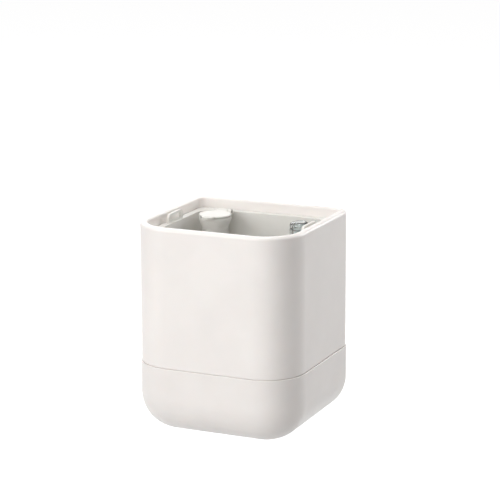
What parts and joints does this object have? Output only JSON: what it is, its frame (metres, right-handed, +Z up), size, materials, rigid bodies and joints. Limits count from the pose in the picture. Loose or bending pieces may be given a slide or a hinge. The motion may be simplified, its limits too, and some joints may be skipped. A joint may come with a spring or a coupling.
{
  "type": "self-watering wall planter",
  "caption": "Wall-hung self-watering planter: open square shell with a rolled rim over a rounded water tank, hung on a two-hook steel bracket.",
  "frame": {"origin": "on the wall plane, midway between the two wall screws of the bracket", "axes": "+Z up, +Y into the wall, +X to the right of someone who faces the wall"},
  "size_m": [0.1414, 0.135, 0.171],
  "materials": {
    "bracket_steel": "satin powder coat",
    "shell_plastic": "satin gloss moulded polypropylene",
    "inner_plastic": "fine matt moulded polypropylene",
    "grid_plastic": "matt grey moulded polypropylene",
    "rubber": "matt grey rubber",
    "wick_fibre": "bonded fibre",
    "pin_steel": "ground steel",
    "clear_plastic": "clear polycarbonate",
    "float_foam": "closed-cell foam",
    "marker_plastic": "glossy red plastic"
  },
  "bodies": {
    "wall_side": {"wall_bracket": "bracket_steel"},
    "planter": {"sleeve": "shell_plastic", "wall_bumpers": "rubber", "seam_gasket": "rubber"},
    "tank": {"reservoir": "shell_plastic"},
    "tank_plug": {"drain_plug": "rubber"},
    "pot": {"inner_pot": "inner_plastic", "wick_collar_left": "rubber", "wick_collar_right": "rubber", "wick_rod_left": "wick_fibre", "wick_rod_right": "wick_fibre", "fill_tube": "inner_plastic", "flap_pin": "pin_steel", "gauge_tube": "inner_plastic", "sight_cap": "clear_plastic", "float_cage": "grid_plastic"},
    "grid": {"drainage_grid": "grid_plastic"},
    "flap": {"filler_flap": "inner_plastic"},
    "float_unit": {"float": "float_foam", "float_stem": "inner_plastic", "level_marker": "marker_plastic"}
  },
  "joints": [
    {"name": "hang_lift", "type": "slide", "parent": "wall_side", "child": "planter", "axis": [0, 0, 1], "range_m": [0, 0.0123]},
    {"name": "tank_pull", "type": "slide", "parent": "planter", "child": "tank", "axis": [0, 0, -1], "range_m": [0, 0.062]},
    {"name": "plug_pull", "type": "slide", "parent": "tank", "child": "tank_plug", "axis": [0, 0, -1], "range_m": [0, 0.012]},
    {"name": "pot_lift", "type": "slide", "parent": "planter", "child": "pot", "axis": [0, 0, 1], "range_m": [0, 0.166]},
    {"name": "grid_lift", "type": "slide", "parent": "pot", "child": "grid", "axis": [0, 0, 1], "range_m": [0, 0.05]},
    {"name": "flap_hinge", "type": "hinge", "parent": "pot", "child": "flap", "pos_m": [-0.038, -0.0201, 0.0377], "axis": [-1, 0, 0], "range_deg": [0, 100]},
    {"name": "float_rise", "type": "slide", "parent": "pot", "child": "float_unit", "axis": [0, 0, 1], "range_m": [0, 0.028]}
  ]
}
